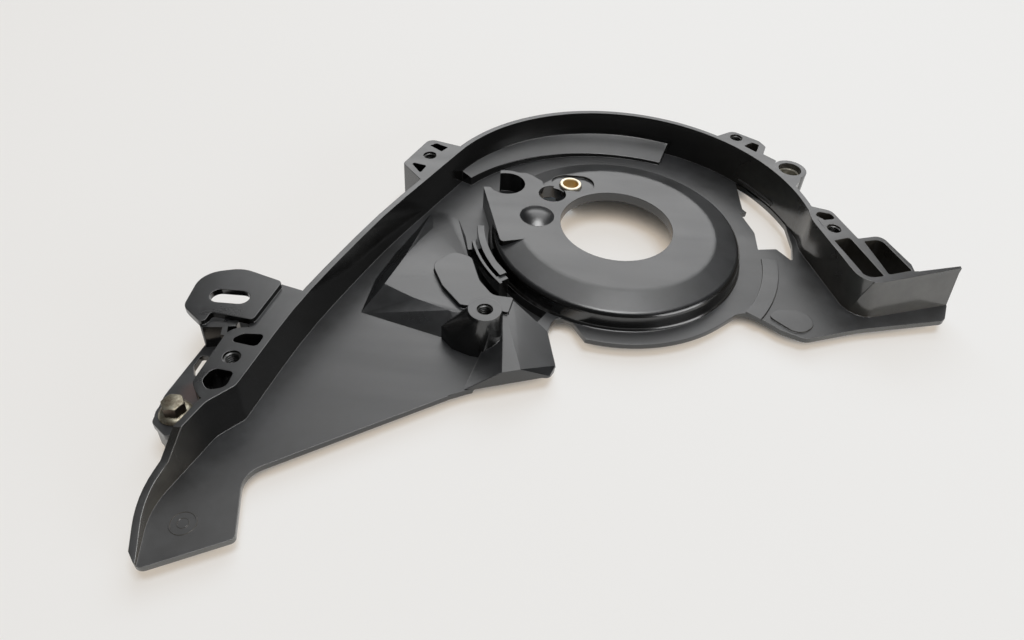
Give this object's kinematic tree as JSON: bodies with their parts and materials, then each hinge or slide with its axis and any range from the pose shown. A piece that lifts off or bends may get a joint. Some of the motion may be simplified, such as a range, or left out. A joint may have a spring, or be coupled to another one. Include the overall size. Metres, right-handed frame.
{
  "type": "rear timing cover",
  "caption": "Shallow moulded tray behind a timing belt: dished plate round a cam hole, rim wall along one side, screw bosses, slotted ear, sleeves and a strap with its bolt.",
  "frame": {"origin": "centre of the cam hole, in the plane of the dish's flat top", "axes": "+Z out of the open side, along the cam; +X from the long leg towards the short plate; +Y towards the round end of the rim"},
  "size_m": [0.3055, 0.2639, 0.027],
  "materials": {
    "cover_plastic": "satin black, dusty from use",
    "bright_sleeve": "bright end face, yellow-plated bore",
    "dull_sleeve": "dull plated",
    "zinc_bolt": "yellow zinc, worn"
  },
  "bodies": {
    "root": {"cover": "cover_plastic", "dish_sleeve": "bright_sleeve", "lug_sleeve": "dull_sleeve", "strap_sleeve": "dull_sleeve", "strap_bolt": "zinc_bolt"}
  },
  "joints": []
}
